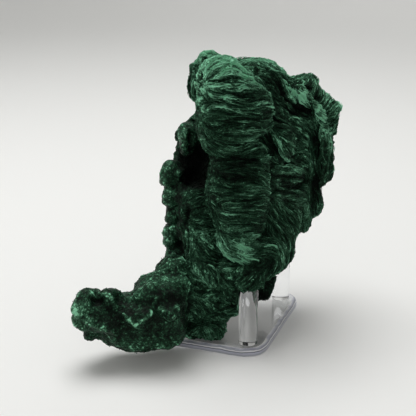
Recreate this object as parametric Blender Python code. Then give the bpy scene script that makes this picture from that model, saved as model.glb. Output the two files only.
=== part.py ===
"""Fibrous green mineral specimen resting on a clear stand: square plate and three pegs.

Units are metres, +Z is up. The origin is the centre of the plate's underside, X runs along
the plate's front edge and Y towards its back edge. The stone is laid out in millimetres in
a frame turned about Z, where x runs across its face and y runs away from the viewer.
"""

import math

import bmesh
import bpy
import numpy as np

MM = 0.001

PLATE_SIDE = 100.0
PLATE_THICK = 5.0
PLATE_CORNER = 15.0
CORNER_STEPS = 8
# inset and height of each ring of the plate's side, from the underside up
PLATE_RINGS = ((0.4, 0.0), (0.0, 0.4), (0.0, 3.5), (0.7, 4.3), (2.0, 4.8), (4.0, 5.0))

PEG_RADIUS = 6.0
PEG_TOP = 43.0
PEG_STEPS = 32
PEG_CHAMFER = 0.5
PEGS = (("peg_near", 38.0, -38.0), ("peg_back", 38.0, 38.0), ("peg_left", -25.0, 0.0))

GAP = 0.3

STONE_TURN = 20.0
VOXEL = 1.7
STONE_TRIANGLES = 8200

# centre, half sizes, turn about Z, lean about Y, squareness
LUMPS = {
    "upper core": ((46, 11, 124), (41, 19, 32), 50, 0, 4.2),
    "back of the top": ((24, 4, 154), (24, 22, 22), 35, 8, 2.6),
    "rear shoulder": ((30, 22, 138), (24, 14, 26), 40, 0, 2.6),
    "peak": ((58, 16, 150), (13, 13, 13), 50, 0, 2.4),
    "peak tip": ((62, 18, 159), (5, 8, 6), 50, 0, 2.6),
    "peak step": ((50, 8, 158), (6, 8, 5), 50, 0, 2.6),
    "right corner": ((73, 24, 134), (9, 13, 13), 20, 0, 3.6),
    "edge below corner": ((67, 20, 101), (11, 15, 13), 30, 0, 2.6),
    "edge ledge": ((73, 20, 98), (6, 10, 6), 30, 0, 2.6),
    "edge lower": ((62, 16, 82), (10, 15, 16), 30, 0, 2.6),
    "low lobe": ((57, 12, 68), (8, 13, 10), 30, 10, 2.4),
    "shelf": ((60, 0, 149), (17, 7, 4), 25, 50, 2.8),
    "inner fold": ((40, -18, 128), (9, 12, 15), 50, 0, 2.4),
    "edge strip": ((69, 9, 118), (4, 11, 25), 30, 0, 2.8),
    "outer strip": ((75, 15, 112), (3, 9, 16), 30, 0, 2.8),
    "swirl lobe": ((44, -14, 74), (13, 12, 14), 40, 0, 2.3),
    "middle": ((37, -2, 95), (36, 20, 33), 50, 0, 3.8),
    "lower body": ((30, -12, 62), (20, 24, 24), 40, 0, 2.6),
    "rear body": ((16, 14, 84), (26, 16, 40), 40, 0, 2.6),
    "pointed lobe": ((45, 14, 49), (9, 12, 7), 30, 0, 2.4),
    "dark lobe": ((33, -8, 31), (9, 11, 14), 0, 0, 2.4),
    "cushion": ((13, -25, 146), (23, 24, 21), 0, 0, 2.5),
    "cushion foot": ((8, -28, 133), (16, 19, 11), 0, -12, 2.4),
    "cushion top": ((5, -22, 166), (15, 20, 16), 0, 0, 2.6),
    "crown": ((-2, -9, 174), (7, 12, 9), 0, 0, 2.8),
    "column": ((17, -24, 102), (20, 20, 24), 0, 0, 2.6),
    "column bulge": ((12, -28, 90), (15, 18, 13), 0, 0, 2.4),
    "lobe under column": ((18, -31, 67), (14, 19, 17), 0, 0, 2.4),
    "trunk": ((-3, -34, 32), (14, 14, 27), 0, 0, 2.9),
    "trunk left": ((-8, -10, 72), (13, 22, 28), 0, 0, 2.6),
    "trunk right": ((12, -36, 36), (9, 14, 17), 0, 0, 2.4),
    "seat on near peg": ((24, -40, 56), (16, 17, 15), 0, 0, 2.5),
    "left toe": ((-11, -40, 11), (7, 8, 8), 0, 0, 2.2),
    "right toe": ((1, -42, 12), (8, 9, 9), 0, 0, 2.2),
    "wing top": ((-14, 6, 124), (8, 12, 10), 0, 0, 2.2),
    "wing two": ((-25, 0, 101), (8, 10, 10), 0, 0, 2.2),
    "wing three": ((-26, -2, 87), (7, 9, 8), 0, 0, 2.2),
    "wing four": ((-24, -4, 76), (7, 9, 8), 0, 0, 2.2),
    "wing five": ((-25, -8, 62), (8, 9, 9), 0, 0, 2.2),
    "wing six": ((-22, -14, 49), (8, 10, 9), 0, 0, 2.2),
    "back of wing": ((-5, 18, 90), (20, 11, 48), 0, 0, 2.6),
    "left flap": ((-9, -4, 163), (5, 11, 12), 0, 0, 2.4),
    "near seat": ((22, -46, 51), (10, 10, 9), 0, 0, 2.6),
    "back seat": ((47, 21, 51), (9, 10, 9), 0, 0, 2.6),
    "left seat": ((-20, 6, 51), (9, 12, 10), 0, 0, 2.6),
    "rear cushion high": ((40, 34, 146), (17, 12, 15), 40, 0, 2.5),
    "rear cushion right": ((60, 38, 126), (14, 10, 16), 45, 0, 2.5),
    "rear cushion left": ((14, 28, 132), (14, 12, 18), 30, 0, 2.5),
    "rear column high": ((34, 36, 112), (16, 11, 19), 40, 0, 2.5),
    "rear column low": ((26, 30, 80), (15, 11, 18), 35, 0, 2.5),
    "rear lobe": ((50, 32, 88), (12, 11, 20), 45, 0, 2.5),
    "rear foot": ((14, 22, 56), (15, 13, 13), 20, 0, 2.5),
    "rear ledge": ((38, 24, 60), (14, 10, 10), 40, 12, 2.5),
    "foot ledge": ((-24, -50, 46), (12, 12, 8), 0, 0, 2.5),
    "foot rise": ((-26, -42, 51), (10, 12, 9), 0, -30, 2.4),
    "foot slope": ((-37, -52, 43), (13, 12, 9), 0, -25, 2.4),
    "foot body": ((-32, -58, 28), (16, 18, 23), 0, 0, 3.6),
    "foot middle": ((-48, -62, 26), (20, 17, 18), 0, 0, 2.4),
    "foot under": ((-52, -62, 17), (19, 13, 9), 0, 8, 2.4),
    "foot end": ((-67, -68, 36), (16, 14, 12), 0, 0, 2.3),
    "foot end top": ((-60, -66, 45), (6, 6, 4), 0, 0, 2.2),
    "foot end low": ((-74, -66, 21), (5, 8, 6), 0, 0, 2.2),
}

# rows of small bumps: first centre, last centre, radius, count
BUMP_ROWS = (
    ((-28, 4, 100), (-27, -4, 58), 3.6, 6),
    ((-20, -8, 104), (-18, -20, 58), 3.5, 7),
    ((-77, -76, 38), (-60, -80, 28), 4.0, 4),
    ((-71, -60, 40), (-44, -56, 40), 4.0, 6),
    ((-52, -78, 34), (-24, -76, 40), 4.0, 5),
    ((-20, 26, 120), (-22, 24, 56), 5.0, 7),
    ((2, 30, 128), (4, 31, 50), 5.0, 8),
)


def clear_scene():
    for item in list(bpy.data.objects):
        bpy.data.objects.remove(item, do_unlink=True)


def material(name, color, roughness, transmission=0.0):
    made = bpy.data.materials.new(name)
    made.use_nodes = True
    surface = made.node_tree.nodes["Principled BSDF"]
    surface.inputs["Base Color"].default_value = (*color, 1.0)
    surface.inputs["Roughness"].default_value = roughness
    surface.inputs["Transmission Weight"].default_value = transmission
    surface.inputs["IOR"].default_value = 1.49
    return made


def new_object(name, work, made=None):
    mesh = bpy.data.meshes.new(name)
    work.to_mesh(mesh)
    work.free()
    item = bpy.data.objects.new(name, mesh)
    bpy.context.scene.collection.objects.link(item)
    if made:
        mesh.materials.append(made)
    return item


def bridge(work, low, high):
    count = len(low)
    for i in range(count):
        j = (i + 1) % count
        work.faces.new((low[i], low[j], high[j], high[i]))


def rounded_square(side, corner, inset):
    """Outline of a square with round corners, moved inwards by inset."""
    half = side / 2 - corner
    radius = corner - inset
    points = []
    for quarter in range(4):
        start = quarter * math.pi / 2
        middle_x = half * (1 if quarter in (0, 3) else -1)
        middle_y = half * (1 if quarter in (0, 1) else -1)
        for step in range(CORNER_STEPS + 1):
            angle = start + step / CORNER_STEPS * math.pi / 2
            x = middle_x + radius * math.cos(angle)
            y = middle_y + radius * math.sin(angle)
            points.append((x, y))
    return points


def stack(work, rings):
    """Closed solid from flat outlines stacked upwards, each a list of x, y and a height."""
    made = []
    for outline, height in rings:
        made.append([work.verts.new((x * MM, y * MM, height * MM)) for x, y in outline])
    for low, high in zip(made, made[1:]):
        bridge(work, low, high)
    work.faces.new(list(reversed(made[0])))
    work.faces.new(made[-1])


def plate(made):
    work = bmesh.new()
    rings = []
    for inset, height in PLATE_RINGS:
        rings.append((rounded_square(PLATE_SIDE, PLATE_CORNER, inset), height))
    stack(work, rings)
    return new_object("base_plate", work, made)


def circle(x, y, radius):
    points = []
    for step in range(PEG_STEPS):
        angle = step / PEG_STEPS * 2 * math.pi
        points.append((x + radius * math.cos(angle), y + radius * math.sin(angle)))
    return points


def peg_rings(x, y, radius, bottom, top, chamfer):
    inner = circle(x, y, radius - chamfer)
    outer = circle(x, y, radius)
    low = bottom + chamfer
    high = top - chamfer
    return [(inner, bottom), (outer, low), (outer, high), (inner, top)]


def peg(name, x, y, made):
    work = bmesh.new()
    stack(work, peg_rings(x, y, PEG_RADIUS, PLATE_THICK + GAP, PEG_TOP, PEG_CHAMFER))
    return new_object(name, work, made)


def turned(points, degrees, axis):
    angle = math.radians(degrees)
    c = math.cos(angle)
    s = math.sin(angle)
    if axis == "z":
        turn = np.array([[c, -s, 0], [s, c, 0], [0, 0, 1]])
    else:
        turn = np.array([[c, 0, s], [0, 1, 0], [-s, 0, c]])
    return points @ turn.T


def add_lump(work, centre, half, turn, lean, square):
    """Rounded block: a ball pushed out to the surface |x|^n + |y|^n + |z|^n = 1, then scaled."""
    ball = bmesh.ops.create_icosphere(work, subdivisions=4, radius=1.0)["verts"]
    points = np.array([v.co[:] for v in ball])
    reach = (np.abs(points) ** square).sum(axis=1) ** (-1 / square)
    points = points * reach[:, None] * np.array(half, float)
    points = turned(turned(points, lean, "y"), turn, "z") + np.array(centre, float)
    for vert, point in zip(ball, points * MM):
        vert.co = point


def apply_modifier(item, kind, **settings):
    modifier = item.modifiers.new(kind.lower(), kind)
    for key, value in settings.items():
        setattr(modifier, key, value)
    graph = bpy.context.evaluated_depsgraph_get()
    mesh = bpy.data.meshes.new_from_object(item.evaluated_get(graph))
    item.modifiers.clear()
    old = item.data
    item.data = mesh
    bpy.data.meshes.remove(old)


def keep_largest_shell(mesh):
    work = bmesh.new()
    work.from_mesh(mesh)
    left = set(work.verts)
    shells = []
    while left:
        seed = left.pop()
        shell = [seed]
        waiting = [seed]
        while waiting:
            vert = waiting.pop()
            for edge in vert.link_edges:
                other = edge.other_vert(vert)
                if other in left:
                    left.remove(other)
                    shell.append(other)
                    waiting.append(other)
        shells.append(shell)
    shells.sort(key=len)
    extra = [vert for shell in shells[:-1] for vert in shell]
    bmesh.ops.delete(work, geom=extra, context="VERTS")
    work.to_mesh(mesh)
    work.free()


def fade(value, low, high):
    """0 below low, 1 above high, smooth between."""
    t = np.clip((value - low) / (high - low), 0, 1)
    return t * t * (3 - 2 * t)


def relief(p):
    """Height of the ridges and knobs over the lumps, in millimetres, at points in mm."""
    x, y, z = p.T
    bend = 2.6 * np.sin(x / 13 + 0.6) + 1.8 * np.sin(y / 8 + z / 31) + 1.2 * np.sin(x / 5 + z / 17)
    level = z + 0.004 * (x - 12) ** 2 + bend
    flutes = np.sin(level * 2 * math.pi / 6.4) + 0.5 * np.sin(level * 2 * math.pi / 4.1 + x / 6)
    slope = 0.75 * z + 0.5 * (x - y) + 2.4 * np.sin(z / 11) + 2.0 * np.sin((x + y) / 15)
    blades = np.sin(slope * 2 * math.pi / 7.2) + 0.5 * np.sin(slope * 2 * math.pi / 4.6 + z / 9)
    knobs = np.sin(x / 2.1 + z / 5) * np.sin(y / 2.3 + 1) * np.sin(z / 2.2 + y / 7)
    face = fade(z, 44, 60) * fade(-y, -6, 6)
    wall = fade(x, 28, 40) * face
    front = face - wall
    rough = 1 - face
    lumps = 1.6 * np.sin(x / 7 + z / 9) * np.sin(z / 6.5 + y / 8 + 2)
    return 0.4 * flutes * front + 0.5 * blades * wall + 0.8 * knobs * rough + 0.6 * lumps


def stone(made):
    work = bmesh.new()
    for centre, half, turn, lean, square in LUMPS.values():
        add_lump(work, centre, half, turn, lean, square)
    for first, last, radius, count in BUMP_ROWS:
        for step in range(count):
            share = step / (count - 1)
            middle = np.array(first) * (1 - share) + np.array(last) * share
            middle = middle + 1.5 * np.sin(step * 2.4 + np.array([0.0, 1.0, 2.0]))
            size = radius * (1 + 0.2 * math.sin(step * 1.7))
            add_lump(work, middle, (size, size, size), 0, 0, 2.0)
    item = new_object("malachite", work, made)
    apply_modifier(item, "REMESH", mode="VOXEL", voxel_size=VOXEL * MM, use_smooth_shade=False)
    keep_largest_shell(item.data)
    apply_modifier(item, "SMOOTH", factor=0.5, iterations=4)
    mesh = item.data
    count = len(mesh.vertices)
    points = np.empty(count * 3)
    normals = np.empty(count * 3)
    mesh.vertices.foreach_get("co", points)
    mesh.vertices.foreach_get("normal", normals)
    points = points.reshape(-1, 3) / MM
    normals = normals.reshape(-1, 3)
    points = points + normals * relief(points)[:, None]
    points = turned(points, STONE_TURN, "z")
    mesh.vertices.foreach_set("co", (points * MM).ravel())
    mesh.update()
    share = STONE_TRIANGLES / (2 * len(mesh.polygons))
    apply_modifier(item, "DECIMATE", decimate_type="COLLAPSE", ratio=share, use_collapse_triangulate=True)
    room = standing_room()
    apply_modifier(item, "BOOLEAN", operation="DIFFERENCE", solver="EXACT", object=room)
    keep_largest_shell(item.data)
    bpy.data.objects.remove(room, do_unlink=True)
    for face in item.data.polygons:
        face.use_smooth = False
    return item


def standing_room():
    """Plate and pegs grown by the gap: what the stone keeps clear of."""
    work = bmesh.new()
    outline = rounded_square(PLATE_SIDE + 2 * GAP, PLATE_CORNER + GAP, 0)
    stack(work, [(outline, -20.0), (outline, PLATE_THICK + GAP)])
    item = new_object("standing_room", work)
    for name, x, y in PEGS:
        work = bmesh.new()
        stack(work, peg_rings(x, y, PEG_RADIUS + GAP, 0.0, PEG_TOP + GAP, PEG_CHAMFER))
        part = new_object(name + "_room", work)
        apply_modifier(item, "BOOLEAN", operation="UNION", solver="EXACT", object=part)
        bpy.data.objects.remove(part, do_unlink=True)
    return item


clear_scene()
green = material("malachite", (0.018, 0.085, 0.045), 0.62)
clear = material("clear_plastic", (0.96, 0.97, 0.98), 0.03, 1.0)
plate(clear)
for peg_name, peg_x, peg_y in PEGS:
    peg(peg_name, peg_x, peg_y, clear)
stone(green)
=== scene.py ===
# Fibrous malachite specimen on a clear stand: skin, fibres, materials, light and camera.
# The stone is worked out in millimetres in a frame that faces the camera: x right, y away, z up.

import math

import bpy
import numpy as np
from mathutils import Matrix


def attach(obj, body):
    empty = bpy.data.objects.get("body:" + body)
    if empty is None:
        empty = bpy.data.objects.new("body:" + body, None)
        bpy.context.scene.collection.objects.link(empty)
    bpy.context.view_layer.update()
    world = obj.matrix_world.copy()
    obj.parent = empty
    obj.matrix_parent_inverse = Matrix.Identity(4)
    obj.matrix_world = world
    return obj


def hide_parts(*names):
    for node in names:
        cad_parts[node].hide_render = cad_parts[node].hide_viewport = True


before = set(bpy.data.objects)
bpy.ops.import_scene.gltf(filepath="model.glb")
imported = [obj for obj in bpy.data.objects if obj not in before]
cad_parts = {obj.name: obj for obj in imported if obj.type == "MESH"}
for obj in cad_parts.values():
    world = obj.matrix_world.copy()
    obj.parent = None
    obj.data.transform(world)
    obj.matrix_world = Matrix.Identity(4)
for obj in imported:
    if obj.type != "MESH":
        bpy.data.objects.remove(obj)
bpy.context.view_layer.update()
scene = bpy.context.scene
rng = np.random.default_rng(41)


# Small array helpers.

def meshPiece(name, points, faces, smooth=True):
    # Object from points in metres and faces of one size, set as whole arrays.
    mesh = bpy.data.meshes.new(name)
    count, sides = faces.shape
    mesh.vertices.add(len(points))
    mesh.vertices.foreach_set("co", points.astype(np.float32).ravel())
    mesh.loops.add(count * sides)
    mesh.loops.foreach_set("vertex_index", faces.astype(np.int32).ravel())
    mesh.polygons.add(count)
    mesh.polygons.foreach_set("loop_start", np.arange(count, dtype=np.int32) * sides)
    mesh.polygons.foreach_set("use_smooth", np.full(count, smooth))
    mesh.update(calc_edges=True)
    piece = bpy.data.objects.new(name, mesh)
    scene.collection.objects.link(piece)
    return piece


def stackFaces(around, rings):
    # Triangles between rings of points stacked downwards, and a fan to each of the two points that follow
    # the rings: the first closes the top, the second the bottom.
    cell = np.arange(around)
    side = (cell + 1) % around
    faces = []
    for a in range(0, (rings - 1) * around, around):
        b = a + around
        faces += [np.stack([a + cell, b + cell, b + side], -1), np.stack([a + cell, b + side, a + side], -1)]
    last, top = (rings - 1) * around, rings * around
    faces.append(np.stack([np.full(around, top), cell, side], -1))
    faces.append(np.stack([last + cell, np.full(around, top + 1), last + side], -1))
    return np.vstack(faces)


def paint(piece, **values):  # one number per point, stored as an attribute the materials read
    for name, numbers in values.items():
        layer = piece.data.attributes.new(name, "FLOAT", "POINT")
        layer.data.foreach_set("value", numbers.astype(np.float32).ravel())


def fade(value, low, high):  # 0 below low, 1 above high, smooth between
    t = np.clip((value - low) / (high - low), 0, 1)
    return t * t * (3 - 2 * t)


def unit(vectors):  # each vector over its length
    return vectors / np.maximum(np.linalg.norm(vectors, axis=-1, keepdims=True), 1e-9)


def turnAboutZ(points, degrees):  # (x cos a - y sin a, x sin a + y cos a, z)
    angle = math.radians(degrees)
    c, s = math.cos(angle), math.sin(angle)
    return points @ np.array([[c, -s, 0], [s, c, 0], [0, 0, 1]]).T


# The stone's body.

stone = {
    "turn": 20.0,      # degrees from the camera's frame to the stand's
    "voxel": 1.06,
    "soften": 3,
    "fillRounds": 40,  # rounds that fill the valleys between lumps
    "fillShare": 0.85,
    "lumps": {         # centre, half sizes, squareness, then any turn about Z and lean about Y
        "upperCore": ((46, 11, 124), (41, 19, 32), 4.2, 50),
        "topBack": ((24, 4, 154), (24, 22, 22), 2.6, 35, 8),
        "rearShoulder": ((30, 22, 138), (24, 14, 26), 2.6, 40),
        "peak": ((58, 16, 150), (13, 13, 13), 2.4, 50),
        "peakTip": ((62, 18, 159), (5, 8, 6), 2.6, 50),
        "peakStep": ((50, 8, 158), (6, 8, 5), 2.6, 50),
        "rightCorner": ((73, 24, 134), (9, 13, 13), 3.6, 20),
        "edgeBelowCorner": ((67, 20, 101), (11, 15, 13), 2.6, 30),
        "edgeLedge": ((73, 20, 98), (6, 10, 6), 2.6, 30),
        "edgeLower": ((62, 16, 82), (10, 15, 16), 2.6, 30),
        "lowLobe": ((57, 12, 68), (8, 13, 10), 2.4, 30, 10),
        "shelf": ((60, 0, 149), (17, 7, 4), 2.8, 25, 50),
        "innerFold": ((40, -18, 128), (9, 12, 15), 2.4, 50),
        "edgeStrip": ((69, 9, 118), (4, 11, 25), 2.8, 30),
        "outerStrip": ((75, 15, 112), (3, 9, 16), 2.8, 30),
        "swirlLobe": ((44, -14, 74), (13, 12, 14), 2.3, 40),
        "middle": ((37, -2, 95), (36, 20, 33), 3.8, 50),
        "lowerBody": ((30, -12, 62), (20, 24, 24), 2.6, 40),
        "rearBody": ((16, 14, 84), (26, 16, 40), 2.6, 40),
        "pointedLobe": ((45, 14, 49), (9, 12, 7), 2.4, 30),
        "darkLobe": ((33, -8, 31), (9, 11, 14), 2.4),
        "cushion": ((13, -25, 149), (23, 23, 17), 2.8),
        "cushionBody": ((6, -26, 152), (14, 22, 27), 3.4),
        "cushionSlope": ((18, -24, 160), (18, 19, 11), 2.8, 0, 45),
        "cushionFoot": ((7, -28, 136), (15, 18, 12), 2.6, 0, -16),
        "cushionTop": ((5, -22, 166), (14, 20, 15), 2.6),
        "crown": ((-2, -9, 174), (7, 12, 9), 2.8),
        "column": ((17, -24, 104), (19, 20, 28), 3.6),
        "columnBulge": ((11, -26, 101), (15, 18, 15), 2.6),
        "columnLow": ((18, -29, 88), (16, 21, 16), 3.2),
        "lobeUnderColumn": ((17, -33, 74), (13, 20, 15), 2.8),
        "trunk": ((-3, -34, 32), (14, 14, 27), 2.9),
        "trunkLeft": ((-8, -10, 72), (13, 22, 28), 2.6),
        "trunkRight": ((12, -36, 36), (9, 14, 17), 2.4),
        "seatOnNearPeg": ((24, -36, 54), (15, 14, 10), 3.0),
        "seatJoinLeft": ((11, -41, 51), (11, 11, 8), 2.6, 0, -25),
        "seatJoinRight": ((33, -33, 60), (12, 14, 12), 2.8),
        "trunkJoin": ((-5, -24, 58), (12, 17, 18), 2.6),
        "leftToe": ((-11, -40, 11), (7, 8, 8), 2.2),
        "rightToe": ((1, -42, 12), (8, 9, 9), 2.2),
        "wingTop": ((-16, 5, 124), (6, 12, 11), 2.6),
        "wingTwo": ((-25, 0, 101), (8, 10, 10), 2.2),
        "wingThree": ((-26, -2, 87), (7, 9, 8), 2.2),
        "wingFour": ((-24, -4, 76), (7, 9, 8), 2.2),
        "wingFive": ((-25, -8, 62), (8, 9, 9), 2.2),
        "wingSix": ((-22, -14, 49), (8, 10, 9), 2.2),
        "backOfWing": ((-5, 18, 90), (20, 11, 48), 2.6),
        "leftFlap": ((-10, -6, 164), (5, 11, 13), 2.4),
        "nearSeat": ((22, -48, 50), (9, 9, 8), 3.0),
        "backSeat": ((47, 21, 51), (9, 10, 9), 2.6),
        "leftSeat": ((-20, 6, 51), (9, 12, 10), 2.6),
        "rearCushionHigh": ((40, 34, 146), (17, 12, 15), 2.5, 40),
        "rearCushionRight": ((60, 38, 126), (14, 10, 16), 2.5, 45),
        "rearCushionLeft": ((14, 28, 132), (14, 12, 18), 2.5, 30),
        "rearColumnHigh": ((34, 36, 112), (16, 11, 19), 2.5, 40),
        "rearColumnLow": ((26, 30, 80), (15, 11, 18), 2.5, 35),
        "rearLobe": ((50, 32, 88), (12, 11, 20), 2.5, 45),
        "rearFoot": ((14, 22, 56), (15, 13, 13), 2.5, 20),
        "rearLedge": ((38, 24, 60), (14, 10, 10), 2.5, 40, 12),
        "footLedge": ((-24, -50, 46), (12, 12, 8), 2.5),
        "footRise": ((-26, -42, 51), (10, 12, 9), 2.4, 0, -30),
        "footSlope": ((-37, -52, 43), (13, 12, 9), 2.4, 0, -25),
        "footBody": ((-32, -58, 30), (16, 17, 21), 4.4),
        "footMiddle": ((-48, -62, 26), (20, 17, 18), 2.4),
        "footUnder": ((-52, -62, 17), (19, 13, 9), 2.4, 0, 8),
        "seamFill": ((-17, -46, 32), (6, 9, 14), 2.4),
        "footEnd": ((-67, -68, 34), (16, 14, 11), 2.3),
        "toeLobe": ((-75, -70, 42), (8, 9, 8), 2.2),
        "toeLobeSmall": ((-63, -70, 45), (5, 7, 5), 2.2),
        "footEndTop": ((-60, -66, 45), (6, 6, 4), 2.2),
        "footEndLow": ((-74, -66, 21), (5, 8, 6), 2.2),
    },
    "bumpRows": (      # first centre, last centre, radius, count
        ((-28, 4, 100), (-27, -4, 58), 3.6, 6),
        ((-20, -8, 104), (-18, -20, 58), 3.5, 7),
        ((-77, -76, 38), (-60, -80, 28), 4.0, 4),
        ((-71, -60, 40), (-44, -56, 40), 4.0, 6),
        ((-52, -78, 34), (-24, -76, 40), 4.0, 5),
        ((-20, 26, 120), (-22, 24, 56), 5.0, 7),
        ((2, 30, 128), (4, 31, 50), 5.0, 8),
    ),
}


def lumpShapes():
    # Every lump as one row of numbers: centre, half sizes, turn, lean, squareness. A bump row is balls set
    # evenly between its two ends, each moved and resized a little by a sine of its number.
    rows = []
    for centre, half, square, *bends in stone["lumps"].values():
        turn, lean = (*bends, 0, 0)[:2]
        rows.append([*centre, *half, turn, lean, square])
    for first, last, radius, count in stone["bumpRows"]:
        for step in range(count):
            share = step / (count - 1)
            middle = np.array(first) * (1 - share) + np.array(last) * share
            middle = middle + 1.5 * np.sin(step * 2.4 + np.array([0.0, 1.0, 2.0]))
            size = radius * (1 + 0.2 * math.sin(step * 1.7))
            rows.append([*middle, size, size, size, 0, 0, 2.0])
    return np.array(rows, float)


def lumpSurfaces(rows, around=40, down=22):
    # Rounded blocks on a (u, v) grid: the direction (sin v cos u, sin v sin u, cos v) is pushed out to
    # |x|^n + |y|^n + |z|^n = 1, scaled by the half sizes, leant about Y, turned about Z and moved.
    u = np.linspace(0, 2 * np.pi, around, endpoint=False)
    v = np.linspace(0, np.pi, down + 2)[1:-1]
    vGrid, uGrid = np.meshgrid(v, u, indexing="ij")
    ways = np.stack([np.sin(vGrid) * np.cos(uGrid), np.sin(vGrid) * np.sin(uGrid), np.cos(vGrid)], -1)
    ways = np.vstack([ways.reshape(-1, 3), [[0, 0, 1.0]], [[0, 0, -1.0]]])
    square = rows[:, 8][:, None]
    reach = (np.abs(ways)[None] ** square[..., None]).sum(-1) ** (-1 / square)
    points = ways[None] * reach[..., None] * rows[:, None, 3:6]
    lean = np.radians(rows[:, 7])[:, None]
    turn = np.radians(rows[:, 6])[:, None]
    x = points[..., 0] * np.cos(lean) + points[..., 2] * np.sin(lean)
    z = -points[..., 0] * np.sin(lean) + points[..., 2] * np.cos(lean)
    y = points[..., 1]
    points = np.stack([x * np.cos(turn) - y * np.sin(turn), x * np.sin(turn) + y * np.cos(turn), z], -1)
    points = points + rows[:, None, 0:3]
    starts = np.arange(len(rows)) * points.shape[1]
    faces = stackFaces(around, down)[None] + starts[:, None, None]
    return points.reshape(-1, 3), faces.reshape(-1, 3)


def fusedSkin():
    # Lumps fused by a voxel remesh; gives points in mm and quads, largest shell only.
    points, faces = lumpSurfaces(lumpShapes())
    piece = meshPiece("fusing", points, faces)
    remesh = piece.modifiers.new("fuse", "REMESH")
    remesh.mode = "VOXEL"
    remesh.voxel_size = stone["voxel"]
    graph = bpy.context.evaluated_depsgraph_get()
    mesh = bpy.data.meshes.new_from_object(piece.evaluated_get(graph))
    points = np.empty(len(mesh.vertices) * 3)
    mesh.vertices.foreach_get("co", points)
    quads = np.empty(len(mesh.loops), int)
    mesh.loops.foreach_get("vertex_index", quads)
    bpy.data.objects.remove(piece, do_unlink=True)
    points, quads = points.reshape(-1, 3), quads.reshape(-1, 4)
    label = np.arange(len(points))  # every point takes the lowest label round its quads until all agree
    while True:
        lowest = label[quads].min(1)
        fresh = label.copy()
        np.minimum.at(fresh, quads.ravel(), np.repeat(lowest, 4))
        fresh = fresh[fresh]
        if (fresh == label).all():
            break
        label = fresh
    main = np.bincount(label).argmax()
    keep = label == main
    index = np.cumsum(keep) - 1
    return points[keep], index[quads[keep[quads[:, 0]]]]


def neighbourTable(quads, count, width=8):
    # For each point its neighbours along edges and itself in the last place; gaps hold the point itself.
    pairs = np.vstack([quads[:, [a, (a + 1) % 4]] for a in range(4)])
    pairs = np.unique(np.vstack([pairs, pairs[:, ::-1]]), axis=0)
    start = np.searchsorted(pairs[:, 0], np.arange(count))
    slot = np.arange(len(pairs)) - start[pairs[:, 0]]
    table = np.repeat(np.arange(count)[:, None], width, 1)
    fits = slot < width - 1
    table[pairs[fits, 0], slot[fits]] = pairs[fits, 1]
    return table


def filled(points, quads, table, rounds, share):
    # Each round lifts only the points that lie below the mean of their neighbours, so valleys fill up.
    for count in range(rounds):
        if count % 4 == 0:
            normals = smoothed(pointNormals(points, quads), table, 2)
        lack = ((points[table].mean(1) - points) * normals).sum(1)
        points = points + normals * (share[:, None] * np.clip(lack, 0, None)[:, None])
    return points


def pointNormals(points, quads):
    # Sum of the normals of the quads round each point: the cross product of each quad's diagonals.
    across = np.cross(points[quads[:, 2]] - points[quads[:, 0]], points[quads[:, 3]] - points[quads[:, 1]])
    total = np.zeros_like(points)
    for axis in range(3):
        total[:, axis] = np.bincount(quads.ravel(), np.repeat(across[:, axis], 4), len(points))
    return unit(total)


def smoothed(values, table, rounds):  # each round takes the mean over the neighbours
    for turn in range(rounds):
        values = values[table].mean(1)
    return values


def broadRelief(p):
    # Low ridges and swellings that the solid has too, as sums of bent sine waves: level flutes in front,
    # slanting blades on the wall, beads elsewhere, and broad swells over all.
    x, y, z = p.T
    bend = 2.6 * np.sin(x / 13 + 0.6) + 1.8 * np.sin(y / 8 + z / 31) + 1.2 * np.sin(x / 5 + z / 17)
    level = z + 0.004 * (x - 12) ** 2 + bend
    flutes = np.sin(level * 2 * math.pi / 6.4) + 0.5 * np.sin(level * 2 * math.pi / 4.1 + x / 6)
    slope = 0.75 * z + 0.5 * (x - y) + 2.4 * np.sin(z / 11) + 2.0 * np.sin((x + y) / 15)
    blades = np.sin(slope * 2 * math.pi / 7.2) + 0.5 * np.sin(slope * 2 * math.pi / 4.6 + z / 9)
    beads = np.sin(x / 2.1 + z / 5) * np.sin(y / 2.3 + 1) * np.sin(z / 2.2 + y / 7)
    face = fade(z, 44, 60) * fade(-y, -6, 6)
    wall = fade(x, 28, 40) * face
    front = face - wall
    swells = 1.6 * (1 - 0.8 * wall) * np.sin(x / 7 + z / 9) * np.sin(z / 6.5 + y / 8 + 2)
    return 0.3 * flutes * front + 0.3 * blades * wall + 0.6 * beads * (1 - face) + 0.6 * swells


# Ridges, hollows and patches that have a place of their own.

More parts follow.
